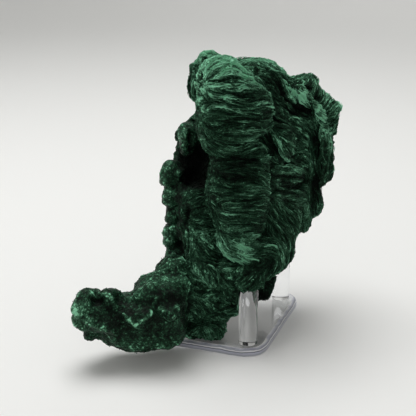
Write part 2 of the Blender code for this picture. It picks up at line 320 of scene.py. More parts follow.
# Darker tone in holes, hollows, gaps, grooves, slits, creases, seams and notches is painted shade.
marks = {  # first end, last end, reach, height, change of tone
    # hollowUnderShelf is a painted shadow under the mint shelf; shelfDarkEnd and peakBand paint shade in
    # dents.
    "hollowUnderShelf": ((46, -10, 153), (60, -5, 144), 2.2, -4, -0.8),
    "mintShelf": ((52, -7, 157), (57, -8, 154), 2.5, 1.4, 0.95),
    "mintShelfStart": ((44, -2, 164), (50, -6, 158), 1.4, 1, 0.95),
    "mintShelfEnd": ((58, -8, 151), (70, 0, 143), 1.3, 1, 0.45),
    "mintHole": ((62, -7, 149), (64, -6, 147), 1.3, -2.5, -0.9),
    "shelfDarkEnd": ((44, -6, 161), (44, -8, 156), 2.4, -2.5, -0.4),
    "peakHole": ((53, -3, 160), (57, 3, 160), 2.2, -4, -0.6),
    "peakBand": ((57, 3, 159), (63, 6, 157), 1.6, -2, -0.4),
    "peakLight": ((58, 8, 162), (66, 10, 162), 4, 0.5, 0.22),
    "stripRidge": ((69, 0, 141), (73, 0, 112), 2.4, 1.4, 0.1),
    "stripLight": ((67, -3, 140), (72, -1, 126), 1.6, 0.6, 0.16),
    "wallGapHigh": ((40, -20, 154), (55, -9, 142), 1.1, -2.5, -0.5),
    "wallGapMiddle": ((38, -24, 145), (52, -17, 134), 1.1, -2.5, -0.5),
    "wallGapLow": ((42, -26, 139), (54, -18, 131), 1, -2.5, -0.45),
    "stripSlit": ((68, 3, 126), (69, 2, 116), 1.3, -3, -0.4),
    "cornerGroove": ((74, 6, 139), (76, 2, 125), 1.8, -3, -0.35),
    "foldRidgeHigh": ((37, -30, 138), (45, -28, 128), 1.6, 0.8, 0.12),
    "foldRidgeLow": ((45, -28, 129), (45, -26, 118), 2.4, 0.6, 0),
    "levelCreaseHigh": ((38, -30, 117), (58, -5, 110), 1.8, -2.2, -0.25),
    "levelCreaseLow": ((38, -33, 99), (60, -4, 97), 1.7, -1.8, -0.2),
    "darkRight": ((60, -4, 102), (72, 8, 87), 4.5, -1, -0.16),
    "cushionHole": ((-5, -44, 160), (-3, -45, 158), 2.4, -2.4, -0.3),
    "cushionKnob": ((8, -48, 162), (10, -48, 162), 1.8, 1.2, 0.2),
    "cushionKnobLow": ((4, -48, 142), (6, -48, 142), 1.8, 1.2, 0.15),
    "crownGap": ((-7, -18, 176), (-1, -20, 182), 2, -3, -0.9),
    "flapGap": ((-7, -32, 175), (-8, -39, 162), 1.5, -2.5, -0.7),
    "columnHollowHigh": ((11, -42, 124), (27, -42, 123), 1.9, -2.8, -0.38),
    "columnHollowMiddle": ((11, -43, 119), (18, -43, 118), 1.6, -2, -0.3),
    "columnHollowLow": ((14, -43, 114), (25, -43, 110), 1.8, -2.4, -0.32),
    "columnMint": ((24, -43, 103), (33, -38, 98), 4, 0.6, 0.14),
    # columnEdge marks: painted shade in the crease along the column's edge.
    "columnEdgeHigh": ((37, -31, 127), (38, -33, 114), 2, -2.4, -0.24),
    "columnEdgeLow": ((38, -33, 110), (35, -35, 95), 2, -1.8, -0.2),
    "lobeMint": ((8, -46, 83), (16, -47, 80), 3, 0.4, 0.24),
    "lobeRimLeft": ((7, -43, 70), (15, -46, 62), 2, 1.2, 0.14),
    "lobeRimRight": ((15, -46, 62), (26, -52, 61), 2, 1.2, 0.14),
    # lobeUnder marks: painted shade under the lobe, over a real groove.
    "lobeUnderLeft": ((6, -41, 65), (14, -47, 57), 2, -2.8, -0.3),
    "lobeUnderRight": ((15, -49, 57), (28, -53, 57), 1.6, -1.8, -0.24),
    "trunkHollow": ((17, -45, 39), (19, -44, 37), 4, -4, -0.5),
    "trunkHollowLow": ((12, -49, 31), (14, -49, 29), 3.2, -3, -0.4),
    "trunkBits": ((-1, -48, 46), (1, -48, 42), 4, 0.5, 0.12),
    "trunkRidge": ((7, -48, 46), (18, -53, 52), 2.4, 0.8, 0.08),
    # trunkDarkToe: painted shade on the trunk beside the foot.
    "trunkDarkToe": ((-15, -50, 17), (-14, -50, 12), 6, -0.5, -0.25),
    "footSeam": ((-15, -52, 50), (-15, -56, 16), 2, -1.6, -0.5),
    "wingPlate": ((-17, -6, 131), (-17, -6, 122), 3.2, 0.8, 0.16),
    "wingRidge": ((-22, -9, 107), (-20, -12, 100), 2.4, 1.2, 0.1),
    "wingGap": ((-16, -27, 86), (-17, -28, 77), 1.6, -2.5, -0.45),
    "deepHollow": ((-11, 4, 110), (-9, -12, 100), 8, -1.5, -0.3),
    "hollowHigh": ((-12, -5, 131), (-12, -6, 120), 3, -4, -0.5),
    "toeHollow": ((-64, -82, 38), (-61, -80, 40), 5, -3, -0.05),
    "toeHollowSmall": ((-71, -75, 46), (-69, -75, 45), 2.6, -2, -0.3),
    "toeHollowTop": ((-68, -72, 50), (-67, -75, 46), 1.6, -2, -0.25),
    # toeGlint marks and toeLine: painted highlights, small glints and a thin lit line on the glossy toe.
    "toeGlintLeft": ((-80, -77, 44), (-78, -79, 38), 1.4, 0.3, 0.3),
    "toeGlintLow": ((-75, -80, 39), (-73, -80, 36), 1.1, 0.3, 0.2),
    "toeGlintNotch": ((-70, -73, 50), (-64, -73, 48), 1.4, 0.3, 0.4),
    "toeLine": ((-60, -74, 46), (-56, -76, 42), 1.2, 0.6, 0.3),
    "toeDark": ((-60, -76, 40), (-57, -77, 36), 3.6, -0.5, -0.12),
    "toeNotch": ((-56, -70, 46), (-54, -72, 45), 3, -3.2, -0.3),
    "footCrest": ((-49, -66, 45), (-38, -66, 51), 3, 1.5, 0.06),
    "footMint": ((-50, -81, 35), (-45, -82, 32), 1.6, 0.7, 0.7),
    "footMintArm": ((-50, -81, 36), (-57, -78, 44), 1, 0.8, 0.5),
    "footVeinLow": ((-45, -82, 33), (-37, -79, 39), 0.9, 0.9, 0.75),
    "footVeinHigh": ((-37, -79, 39), (-33, -74, 47), 0.85, 0.8, 0.7),
    "ledgeMint": ((-34, -63, 51), (-28, -59, 52), 4, 0.5, 0.24),
    # ledgeDark: painted shade in a dent beside the ledge.
    "ledgeDark": ((-24, -73, 47), (-20, -73, 46), 3.6, -2.2, -0.35),
    "rosette": ((-23, -81, 39), (-22, -81, 38), 3.2, 1.2, 0.1),
}

knobs = (  # place and radius of single round knobs
    (-81, -77, 40, 5.4), (-82, -75, 31, 5.4), (-77, -78, 28, 5.0), (-72, -80, 34, 4.6), (-56, -76, 44, 3.8),
    (-44, -70, 47, 4.4), (-37, -69, 49, 4.2), (-31, -79, 42, 4.4), (-28, -80, 33, 4.6), (-19, -76, 42, 4.4),
    (-40, -82, 30, 4.4), (-28, -5, 107, 6.8), (-29, -6, 101, 6.8), (-25, -4, 113, 4.2), (-27, -9, 91, 6.4),
    (-28, -9, 87, 6.8), (-22, -14, 81, 5.4), (-26, -12, 76, 5.6), (-27, -15, 67, 7.0), (-27, -16, 62, 6.0),
    (-24, -25, 58, 6.0), (-29, -22, 53, 5.0), (-20, -12, 101, 3.8), (-22, -10, 105, 3.6),
)


markRule = {
    "thin": 3,            # reach under which a mark lies on the surface like paint
    "depthIgnored": 0.85,  # share of the squared depth that a thin mark leaves out
    "gapTone": -0.3,      # marks darker than this stay free of strands
}


def alongMarks(points, normals):
    # Height and tone of the marks: exp(-(d / reach)^2), with d the distance from the line between the ends.
    # On thin marks the part of d along the normal counts little.
    height, tone = np.zeros(len(points)), np.zeros(len(points))
    for first, last, reach, rise, change in marks.values():
        start = np.array(first, float)
        line = np.array(last, float) - start
        share = np.clip((points - start) @ line / (line @ line), 0, 1)
        gap = points - start - share[:, None] * line
        depth = (gap * normals).sum(1)
        ignored = markRule["depthIgnored"] if reach < markRule["thin"] else 0.0
        distance = (gap ** 2).sum(1) - ignored * depth ** 2
        weight = np.exp(-distance / reach ** 2)
        height += rise * weight
        tone += change * weight
    return height, tone


# How the fibres run.

grain = {  # place, reach, direction, fibre length, tone, then any drusy share and smooth share
    "cushionFace": ((13, -46, 150), 20, (100, 20, 142), 9, 0.49),
    "cushionUpper": ((6, -38, 168), 14, (100, 30, 138), 9, 0.84),
    "crownTop": ((0, -14, 180), 10, (0.8, 0.1, -0.2), 6, 0.90, 0.15),
    "topBackPlate": ((32, 4, 172), 15, (0.85, 0.3, -0.5), 6, 0.75, 0.1),
    "topBackFar": ((20, 16, 174), 14, (0.8, 0.4, -0.2), 6, 0.72, 0.1),
    "flap": ((-10, -10, 163), 9, (0.1, 0, -1), 6, 0.50, 0.1),
    "creaseBehindCushion": ((40, -8, 160), 12, (0.45, 0.2, -0.85), 6, 0.38, 0.1),
    "wallHigh": ((56, -2, 141), 12, (0.63, 0.78, -0.6), 10, 0.53),
    "wallInner": ((42, -22, 132), 10, (0.63, 0.78, -0.75), 9, 0.44),
    "wallMiddle": ((52, -8, 118), 11, (0.63, 0.78, -0.42), 8, 0.52),
    "wallLevel": ((46, -15, 104), 11, (0.63, 0.78, -0.25), 8, 0.52),
    "wallLow": ((50, -10, 90), 10, (0.63, 0.78, -0.35), 7, 0.50),
    "swirl": ((46, -20, 76), 12, (0.35, 0.4, -0.85), 7, 0.53),
    "lowRightLobe": ((60, 4, 68), 11, (0.1, 0.2, -1), 7, 0.52),
    "rightStrip": ((70, 6, 118), 10, (0.05, 0.1, -1), 7, 0.42, 0.1),
    "rightStripLow": ((68, 8, 94), 10, (0, 0.1, -1), 6, 0.42, 0.2),
    "corner": ((76, 16, 134), 11, (0.6, 0.5, 0.55), 6, 0.59, 0.1),
    "peakFace": ((61, 10, 159), 8, (0.35, 0.3, 0.85), 6, 0.64, 0.25),
    "freshPatch": ((57, -5, 153), 5, (0.5, 0.5, -0.7), 4, 0.58, 0.3, 0.1),
    "columnFace": ((14, -44, 108), 14, (1, 0.5, -0.2), 9, 0.38),
    "columnRight": ((34, -38, 108), 8, (0.6, 0.7, -0.5), 8, 0.41),
    "columnLow": ((14, -46, 88), 12, (1, 0.5, -0.08), 7, 0.49),
    "lobeLeft": ((8, -46, 68), 8, (0.75, 0, -0.6), 7, 0.65),
    "lobeMiddle": ((18, -50, 64), 9, (1, 0.5, -0.3), 7, 0.68),
    "lobeRight": ((28, -46, 70), 8, (1, 0.6, -0.3), 7, 0.55),
    "fallingHair": ((38, -28, 64), 12, (0.05, 0.05, -1), 8, 0.42),
    "overNearPeg": ((26, -50, 50), 10, (-0.7, 0.3, -0.6), 6, 0.34),
    "trunkLayered": ((-12, -30, 86), 10, (1, 0.4, 0.05), 4, 0.44, 0.15),
    "trunkUpper": ((-8, -34, 64), 11, (0.6, 0.3, -0.75), 4, 0.50),
    "trunkFace": ((2, -50, 36), 11, (0.75, 0.4, -0.5), 4, 0.53),
    "trunkRidgeSkin": ((17, -51, 42), 7, (0.85, 0.3, 0.5), 5, 0.47),
    "trunkLow": ((2, -50, 20), 9, (1, 0.4, -0.25), 4, 0.54),
    "toes": ((1, -50, 10), 6, (0.3, 0, -1), 4, 0.56, 0.1),
    "darkLobeSkin": ((34, -12, 28), 12, (0.2, 0, -1), 4, 0.28, 0.7, 0.1),
    # The hollow's tone of 0 paints the deep cavity near black: painted shade.
    "hollow": ((-10, 2, 100), 12, (0, 0, -1), 4, 0, 0.6, 0.5),
    "wingHigh": ((-20, 0, 124), 9, (0.2, 0, -1), 3, 0.52, 0.5, 0.9),
    "wingMiddle": ((-30, -4, 95), 14, (0, 0, -1), 2.6, 0.48, 1, 0.9),
    "wingLow": ((-30, -12, 62), 14, (0, 0, -1), 2.6, 0.54, 1, 0.85),
    "wingFoot": ((-28, -24, 48), 9, (-0.5, 0, -0.8), 4, 0.48, 0.9, 0.6),
    "ledgeTop": ((-24, -58, 52), 9, (-0.7, -0.4, -0.3), 3, 0.62, 0.9, 0.5),
    "footFace": ((-32, -78, 34), 13, (-0.6, 0, -0.7), 2.6, 0.52, 1, 0.8),
    "footHollow": ((-50, -76, 36), 10, (-0.5, 0, -0.8), 2.6, 0.52, 1, 0.85),
    "footSkirt": ((-46, -74, 12), 14, (-0.4, 0.1, -0.9), 2.6, 0.64, 1, 0.85),
    "footTip": ((-72, -74, 34), 14, (-0.7, 0, -0.6), 2.6, 0.60, 1, 0.85),
    "rearHigh": ((30, 42, 150), 18, (-0.75, -0.5, -0.35), 9, 0.50),
    "rearRight": ((62, 46, 126), 15, (0.5, 0.5, -0.75), 8, 0.48),
    "rearMiddle": ((36, 46, 110), 15, (-0.8, -0.55, -0.1), 9, 0.5),
    "rearLeft": ((6, 38, 128), 14, (-0.85, 0.1, -0.5), 7, 0.46, 0.1),
    "rearLow": ((28, 40, 80), 15, (-0.6, -0.4, -0.7), 8, 0.48),
    "rearFoot": ((14, 34, 56), 14, (-0.3, -0.2, -0.9), 6, 0.46, 0.1),
    "rearWing": ((-18, 30, 90), 18, (-0.2, 0, -1), 4, 0.46, 0.8),
    "underside": ((10, 0, 44), 16, (0.6, 0.6, -0.3), 4, 0.30, 0.4),
}

fanned = ("cushionFace", "cushionUpper")   # here the direction is a point that the fibres run to


def grainAt(points, normals):
    # Direction, length, tone, drusy and smooth share at points: means of the grain rows, each weighted by
    # exp(-(distance / (0.62 reach))^2). The direction is laid into the surface and swayed by slow waves,
    # more on the trunk, less on the wall, and by quick ones where it is drusy.
    weights = np.zeros(len(points))
    way = np.zeros_like(points)
    rest = np.zeros((len(points), 4))
    for name, (place, reach, direction, *values) in grain.items():
        gap = points - np.array(place, float)
        w = np.exp(-(gap ** 2).sum(1) / (0.62 * reach) ** 2) + 1e-7 / (1 + (gap ** 2).sum(1))
        target = np.array(direction, float)
        way += w[:, None] * (unit(target - points) if name in fanned else unit(target[None]))
        rest += w[:, None] * np.array((*values, 0.0, 0.0)[:4])
        weights += w
    rest /= weights[:, None]
    way = unit(way - normals * (way * normals).sum(1, keepdims=True))
    x, y, z = points.T
    sway = 0.13 * np.sin(x / 6.1 + y / 8 + z / 4.7) + 0.1 * np.sin(z / 3.1 - x / 4.3 + 1.3)
    trunk, wall = fade(60 - z, 0, 12) * fade(18 - x, 0, 8), fade(x, 32, 42)
    sway = (sway + 0.07 * np.sin(y / 2.7 + x / 3.4 + z / 2.9)) * (1 + 2.2 * trunk)
    sway = sway * (1 - 0.5 * wall)
    quick = 1.5 * np.sin(x / 1.3 + z / 1.9 + y / 3) + 1.2 * np.sin(z / 1.1 - x / 2.3 + y / 1.7 + 0.7)
    sway += rest[:, 2] * quick
    side = np.cross(normals, way)
    way = unit(way * np.cos(sway)[:, None] + side * np.sin(sway)[:, None])
    return way, rest.T


walkerReach = 1.2   # millimetres that a walker may stand off the point that carries it


def stepAlong(skin, place, carrier, length, turn=None):
    # One step along the flow: move, take the nearest point of the two rings round the carrier, and drop
    # back on to its tangent plane, near the point. A turn swings each walker off the flow.
    way = skin["flow"][carrier]
    if turn is not None:
        way = way * np.cos(turn)[:, None] + np.cross(skin["normals"][carrier], way) * np.sin(turn)[:, None]
    place = place + way * length[:, None]
    for _ in range(2):
        ring = skin["table"][carrier]
        nearest = ((skin["points"][ring] - place[:, None]) ** 2).sum(-1).argmin(1)
        carrier = ring[np.arange(len(ring)), nearest]
    normal = skin["normals"][carrier]
    gap = place - skin["points"][carrier]
    gap = gap - normal * (gap * normal).sum(1, keepdims=True)
    gap = gap * np.minimum(1, walkerReach / np.maximum(np.linalg.norm(gap, axis=1, keepdims=True), 1e-9))
    return skin["points"][carrier] + gap, carrier


def streaks(skin, values, steps, length):
    # Mean of a value carried along the flow both ways, which draws it out into streaks of spread 1.
    total = values.copy()
    flow = skin["flow"]
    for sign in (1.0, -1.0):
        skin["flow"] = flow * sign
        place, carrier = skin["points"], np.arange(len(values))
        for _ in range(steps):
            place, carrier = stepAlong(skin, place, carrier, np.full(len(values), length))
            total = total + values[carrier]
    skin["flow"] = flow
    total = total - total.mean()
    return total / total.std()


def domes(points, seeds, radius):
    # Rounded bumps round seed points: (radius^2 - distance^2) / (2 radius), the highest one counts.
    height = np.zeros(len(points))
    order = np.argsort(points[:, 2])
    for block in np.array_split(order, 80):   # level by level, with only the seeds near that level
        low, high = points[block, 2].min(), points[block, 2].max()
        near = (seeds[:, 2] > low - radius.max()) & (seeds[:, 2] < high + radius.max())
        if near.any():
            gap = ((points[block][:, None] - seeds[near][None]) ** 2).sum(-1) / radius[near][None] ** 2
            height[block] = (0.5 * radius[near][None] * np.clip(1 - gap, 0, None)).max(1)
    return height


relief = {
    "streaks": ((9, 12, 1.0), (3, 8, 1.0), (0, 6, 0.9)),   # smoothing, steps, length: coarse, middle, fine
    "grooveWidth": 0.3,
    "middleGroove": (0.8, 0.6),     # where in the middle streaks the grooves are, and their share
    "druseFrom": 0.35,              # drusy share from which a place gets crystal knobs
    "knobs": (900, 1.8, 4.0),       # count, least and greatest radius
    "grains": (3800, 0.9, 1.7),
    # Painted shade: darker between the single knobs, lighter on the large ones.
    "knobValleyShade": 0.1,              # dark between the single knobs
    "proudRounds": 60,              # smoothing that gives the wide surroundings
    "proudDepth": 2.2,
}


def crystalDomes(points, druseSpots, count, least, greatest):  # domes round places drawn from the drusy ones
    seeds = rng.choice(druseSpots, count, replace=False)
    return domes(points, points[seeds], rng.uniform(least, greatest, count))


def buildSkin():
    # Fused lumps, valleys filled, then marks and knobs, broad relief, and last a height along the normal:
    # on fibrous places streaks less grooves exp(-(streak / width)^2), on drusy ones domes.
    points, quads = fusedSkin()
    table = neighbourTable(quads, len(points))
    points = smoothed(points, table, stone["soften"])
    knobby = grainAt(points, pointNormals(points, quads))[1][2]
    points = filled(points, quads, table, stone["fillRounds"], stone["fillShare"] * (1 - 0.8 * knobby))
    points = smoothed(points, table, 1)
    normals = smoothed(pointNormals(points, quads), table, 2)
    spots = np.array(knobs, float)
    rise, markTone = alongMarks(points, unit(normals))
    bulge = domes(points, spots[:, :3], spots[:, 3])
    points = points + unit(normals) * (rise + bulge)[:, None]
    normals = pointNormals(points, quads)
    points = points + normals * broadRelief(points)[:, None]
    normals = smoothed(pointNormals(points, quads), table, 3)
    skin = {"points": points, "quads": quads, "table": table, "normals": unit(normals)}
    skin["flow"], values = grainAt(points, skin["normals"])
    skin["length"], skin["tone"], skin["druse"], skin["smooth"] = values
    skin["gap"] = markTone < markRule["gapTone"]
    # Painted shade between the knobs on drusy places, lighter on their tops.
    skin["tone"] = skin["tone"] + markTone + relief["knobValleyShade"] * skin["druse"] * (bulge - 1.1)
    coarse, middle, fine = [
        streaks(skin, smoothed(rng.standard_normal(len(points)), table, rounds), steps, length)
        for rounds, steps, length in relief["streaks"]]
    druse, fibrous = skin["druse"], 1 - skin["druse"]
    druseSpots = np.flatnonzero(druse > relief["druseFrom"])
    knob = crystalDomes(points, druseSpots, *relief["knobs"])
    grit = crystalDomes(points, druseSpots, *relief["grains"])
    width, (start, share) = relief["grooveWidth"], relief["middleGroove"]
    groove = np.exp(-(coarse / width) ** 2) + share * np.exp(-((middle - start) / width) ** 2)
    wall = fade(points[:, 0], 26, 38) * fade(points[:, 2], 84, 104)
    top = fade(points[:, 2], 156, 168)
    bold = 0.75 + 0.3 * wall + 0.4 * top    # wider gaps on the wall and on the top
    crisp = 1 + 0.5 * wall + 0.2 * top      # and stronger fine strands
    height = fibrous * (bold * (0.25 * coarse + 0.4 * middle - 0.9 * groove) + 0.35 * crisp * fine)
    height = height + druse * (1 - 0.6 * skin["smooth"]) * (0.6 * knob + 0.8 * grit - 0.7)
    # The ridge value lightens strands and knobs and darkens grooves and pits: painted shade over the real
    # relief.
    strands = bold * (0.1 * coarse + 0.25 * middle - 1.3 * groove + 0.4) + 0.85 * crisp * fine
    skin["ridge"] = fibrous * strands + druse * ((knob - 0.7) * 0.8 + (grit - 0.35) * 1.8)
    wide = smoothed(points, table, relief["proudRounds"])
    proud = ((points - wide) * skin["normals"]).sum(1) / relief["proudDepth"]
    skin["proud"] = np.clip(proud, -1.5, 1.5)   # how far a place stands out of its surroundings
    skin["points"] = points + skin["normals"] * height[:, None]
    skin["normals"] = pointNormals(skin["points"], quads)
    return skin


skin = buildSkin()
print("skin", len(skin["points"]), "points,", 2 * len(skin["quads"]), "triangles")


# The fibres, kept clear of the stand.

stand = {
    "side": 100.0, "corner": 15.0, "cornerSteps": 20,
    "plateProfile": ((0.5, 0.0), (0.15, 0.12), (0.0, 0.5), (0.0, 3.4), (0.12, 3.8), (0.5, 4.2),
                     (1.1, 4.52), (2.0, 4.78), (3.0, 4.94), (4.0, 5.0)),   # inset, height
    "pegs": {"peg_near": (38.0, -38.0), "peg_back": (38.0, 38.0), "peg_left": (-25.0, 0.0)},
    "pegRadius": 6.0, "pegBottom": 5.04, "pegTop": 43.0, "pegSteps": 96,
    "pegEdge": ((0.35, 0.0), (0.1, 0.1), (0.0, 0.35)),   # inset and height of the rounded ends
    "clearOf": (0.0053, 0.0433, 0.0066),   # metres: over the plate, over a peg, round a peg
}

fibre = {
    "count": 110000,
    "perPiece": 16500,
    "stops": (0, 1, 5, 9),    # steps of the walk at which a strand has a ring
    "overCell": 1.5,          # millimetres between the strands that lie on top
    "overWidth": (0.42, 0.75),
    "overRise": (0.2, 0.65),
    "underWidth": (0.38, 0.68),
    "underRise": (-0.3, 0.15),
    "druseDrop": 0.35,        # short fibres lie closer
    "overLength": (0.6, 1.25),   # shares of the length that the grain rows give
    "underLength": (0.4, 0.9),
    "shortest": 0.3,          # share of its length under which a strand is left out
    "splay": 0.1,             # radians that a strand may swing off its neighbours
    "uprightShare": 0.15,     # of the strands on drusy parts stand up as crystals
    "uprightLength": (0.3, 0.65),
    "uprightWidth": 1.3,
    # Painted light on the strands that lie on top, painted shade on those under them.
    "overLightTone": 0.06,
    "underShadeTone": -0.18,
    "spreadTone": 0.10,
    "farTone": 0.08,          # lighter towards the far end
    "ridgeShadeTone": 0.15,
    # Painted light on places that stand out of their surroundings, painted shade in recesses.
    "proudLightAndShade": 0.10,
    "brightCrystals": (0.04, 0.25),   # share of the crystals, and how much lighter they are
}


def drawn(over, what):  # random numbers from the range for strands on top, or from the one for those under
    ranges = fibre["over" + what], fibre["under" + what]
    return np.where(over, rng.uniform(*ranges[0], len(over)), rng.uniform(*ranges[1], len(over)))


def toStand(points):  # millimetres facing the camera to metres on the stand
    return turnAboutZ(points, stone["turn"]) * 0.001


def standClear(points):
    # Metres on the stand: a point in a peg's column goes up over its top, one in the plate up on to it.
    x, y, z = points.T
    overPlate, overPeg, roundPeg = stand["clearOf"]
    half = stand["side"] * 0.0005
    inPlate = (np.abs(x) < half) & (np.abs(y) < half)
    z = np.where(inPlate, np.maximum(z, overPlate), z)
    for pegX, pegY in stand["pegs"].values():
        inPeg = np.hypot(x - pegX * 0.001, y - pegY * 0.001) < roundPeg
        z = np.where(inPeg, np.maximum(z, overPeg), z)
    return np.column_stack([x, y, z])


def traceFibres(count):
    # Starts spread over the skin's points and walked along the flow in equal steps; gives the first point,
    # whether the strand lies on top, whether it is cut short, and place, normal and tone at each stop.
    carrier = rng.integers(0, len(skin["points"]), count)
    cell = np.floor(skin["points"][carrier] / fibre["overCell"]).astype(int)
    over = np.zeros(count, bool)
    over[np.unique(cell, axis=0, return_index=True)[1]] = True
    over &= skin["ridge"][carrier] > -0.5    # the gaps between the ridges stay open
    place = skin["points"][carrier] + rng.uniform(-0.5, 0.5, (count, 3))
    length = skin["length"][carrier] * drawn(over, "Length")
    turn = rng.normal(0, fibre["splay"], count)
    stepCount = fibre["stops"][-1]
    # The ridge share is painted shade in the grooves and lighter tone on the strands.
    shade = skin["tone"] + fibre["ridgeShadeTone"] * skin["ridge"]
    places, normals, shades = [place], [skin["normals"][carrier]], [shade[carrier]]
    first = carrier
    going = ~skin["gap"][first]
    for step in range(1, stepCount + 1):
        going &= ~skin["gap"][carrier]     # a strand ends where it meets a gap
        place, carrier = stepAlong(skin, place, carrier, going * length / stepCount, turn)
        if step in fibre["stops"]:
            places.append(place)
            normals.append(skin["normals"][carrier])
            shades.append(shade[carrier])
    places = np.stack(places, 1)
    cut = np.linalg.norm(places[:, -1] - places[:, 1], axis=1) < fibre["shortest"] * length
    return first, over, cut, places, unit(np.stack(normals, 1)), np.stack(shades, 1)


def fibreShapes(first, over, places, normals):
    # Thin pointed prisms along the traced lines: the middle rings are triangles of the width
    # w sqrt(1 - (2t - 1)^4), crest up and two edges sunk, on an arch sin(0.7 pi sqrt t); both ends run to
    # a point, the far one lifted. Upright ones stand on the surface, tilted at random.
    count, nodes = places.shape[:2]
    t = np.array(fibre["stops"]) / fibre["stops"][-1]
    druse = skin["druse"][first]
    standing = rng.random(count) < druse * fibre["uprightShare"]
    tilt = unit(normals[:, 0] + 0.6 * rng.standard_normal((count, 3)))
    tall = rng.uniform(*fibre["uprightLength"], count)
    upright = places[:, :1] + tilt[:, None] * tall[:, None, None] * (t[None, :, None] - 0.3)
    places = np.where(standing[:, None, None], upright, places)
    along = unit(np.gradient(places, axis=1))
    crest = unit(normals - along * (normals * along).sum(-1, keepdims=True) + 1e-6)
    anyWay = unit(np.cross(along, unit(rng.standard_normal((count, 1, 3)))))
    crest = np.where(standing[:, None, None], anyWay, crest)
    side = np.cross(along, crest)
    width = drawn(over, "Width") * np.where(standing, fibre["uprightWidth"], 1.0)
    rise = drawn(over, "Rise") - fibre["druseDrop"] * druse
    swell = np.sqrt(1 - (2 * t - 1) ** 4)
    arch = np.sin(np.pi * np.sqrt(t[None]) * 0.7)
    lift = -0.3 + (rise[:, None] + 0.3) * arch + 0.15 * over[:, None] * t[None] ** 3
    lift = np.where(standing[:, None], 0, lift)
    middle = places + crest * lift[..., None]
    half = 0.5 * width[:, None] * swell[None]
    high = 0.55 * width[:, None] * swell[None]
    top = middle + crest * high[..., None]
    left = middle - side * half[..., None] - crest * (0.5 * high)[..., None]
    right = middle + side * half[..., None] - crest * (0.5 * high)[..., None]
    rings = np.stack([top, left, right], 2)[:, 1:-1].reshape(count, -1, 3)
    points = np.concatenate([middle[:, :1], rings, middle[:, -1:]], 1)
    ringCount = nodes - 2
    sides = ((0, 1), (1, 2), (2, 0))
    faces = [[0, 1 + b, 1 + a] for a, b in sides]
    for ring in range(ringCount - 1):
        here, ahead = 1 + 3 * ring, 4 + 3 * ring
        for a, b in sides:
            faces += [[here + a, here + b, ahead + b], [here + a, ahead + b, ahead + a]]
    last, tip = 1 + 3 * (ringCount - 1), 1 + 3 * ringCount
    faces += [[last + a, last + b, tip] for a, b in sides]
    return points, np.array(faces), standing


def buildFibres():
    # Strands shared out to five pieces by where they start; each tone is the skin's at its rings, with more
    # for strands on top (painted light), towards the far end and on proud places (painted light, with painted
    # shade in recesses), and less for those under (painted shade). Those on top are kept first.
    count = fibre["count"] // 1
    first, over, cut, places, normals, shades = traceFibres(count)
    points, faces, standing = fibreShapes(first, over, places, normals)
    x, y, z = skin["points"][first].T
    groups = {
        "fibresDruse": skin["druse"][first] > 0.45,
        "fibresBack": y > 16,
        "fibresWall": x > 34,
        "fibresCushion": z > 120,
        "fibresColumn": z > -100,   # the rest
    }
    tone = np.repeat(shades[:, 1:-1], 3, axis=1)
    tone = np.concatenate([shades[:, :1], tone, shades[:, -1:]], 1)
    t = np.array(fibre["stops"]) / fibre["stops"][-1]
    far = np.concatenate([[0.0], np.repeat(t[1:-1], 3), [1.0]])
    tone = tone + rng.normal(0, fibre["spreadTone"], count)[:, None] + fibre["farTone"] * (far[None] - 0.4)
    # Painted light on strands on top, painted shade on those under.
    tone = tone + np.where(over, fibre["overLightTone"], fibre["underShadeTone"])[:, None]
    share, lighter = fibre["brightCrystals"]
    tone = tone + (standing & (rng.random(count) < share))[:, None] * lighter
    # Painted light on proud places and painted shade in recesses.
    tone = tone + fibre["proudLightAndShade"] * skin["proud"][first][:, None]
    pieces, left = [], np.ones(count, bool)
    bare = cut | (rng.random(count) < skin["smooth"][first])   # smooth places carry few crystals
    for name, inside in groups.items():
        chosen = np.flatnonzero(inside & left & ~bare)
        left[chosen] = False
        found = len(chosen)
        chosen = np.concatenate([chosen[over[chosen]], chosen[~over[chosen]]])[:fibre["perPiece"]]
        flat = standClear(toStand(points[chosen].reshape(-1, 3)))
        starts = np.arange(len(chosen)) * points.shape[1]
        joined = (faces[None] + starts[:, None, None]).reshape(-1, 3)
        piece = meshPiece(name, flat, joined, smooth=False)
        paint(piece, tone=tone[chosen])
        print(name, len(chosen), "fibres of", found, "traced,", len(joined), "triangles")
        pieces.append(piece)
    return pieces


# Materials.

